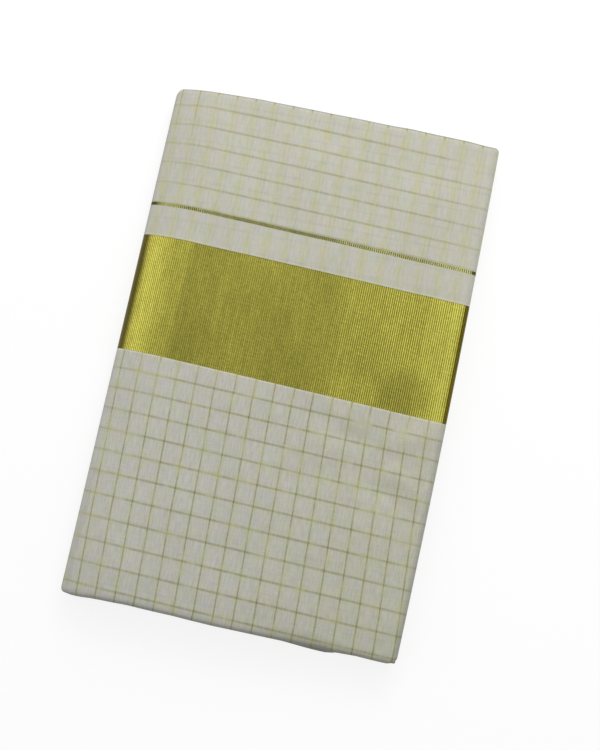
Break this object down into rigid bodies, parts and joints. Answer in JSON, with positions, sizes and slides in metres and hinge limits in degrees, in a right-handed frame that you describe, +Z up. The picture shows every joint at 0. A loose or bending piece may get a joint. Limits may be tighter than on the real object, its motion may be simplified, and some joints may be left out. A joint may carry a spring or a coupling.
{
  "type": "folded kasavu saree",
  "caption": "Cream cotton saree folded into a flat rectangular packet, with a fine gold check, a thin gold line and one wide gold band across its front.",
  "frame": {"origin": "centre of the packet's box, on the flat underside that it rests on", "axes": "+Z up out of the front, +Y along the packet's length towards its far end, +X across the front from the round spine towards the rolled fold"},
  "size_m": [0.2509, 0.3913, 0.0235],
  "materials": {
    "cotton": "fine plain weave, matt, unbleached cream with a thin gold check",
    "zari": "metal-wrapped thread in a close weave, satin gold"
  },
  "bodies": {
    "root": {"field_upper": "cotton", "zari_line": "zari", "field_gap": "cotton", "kasavu_band": "zari", "field_lower": "cotton", "folded_layers": "cotton"}
  },
  "joints": []
}
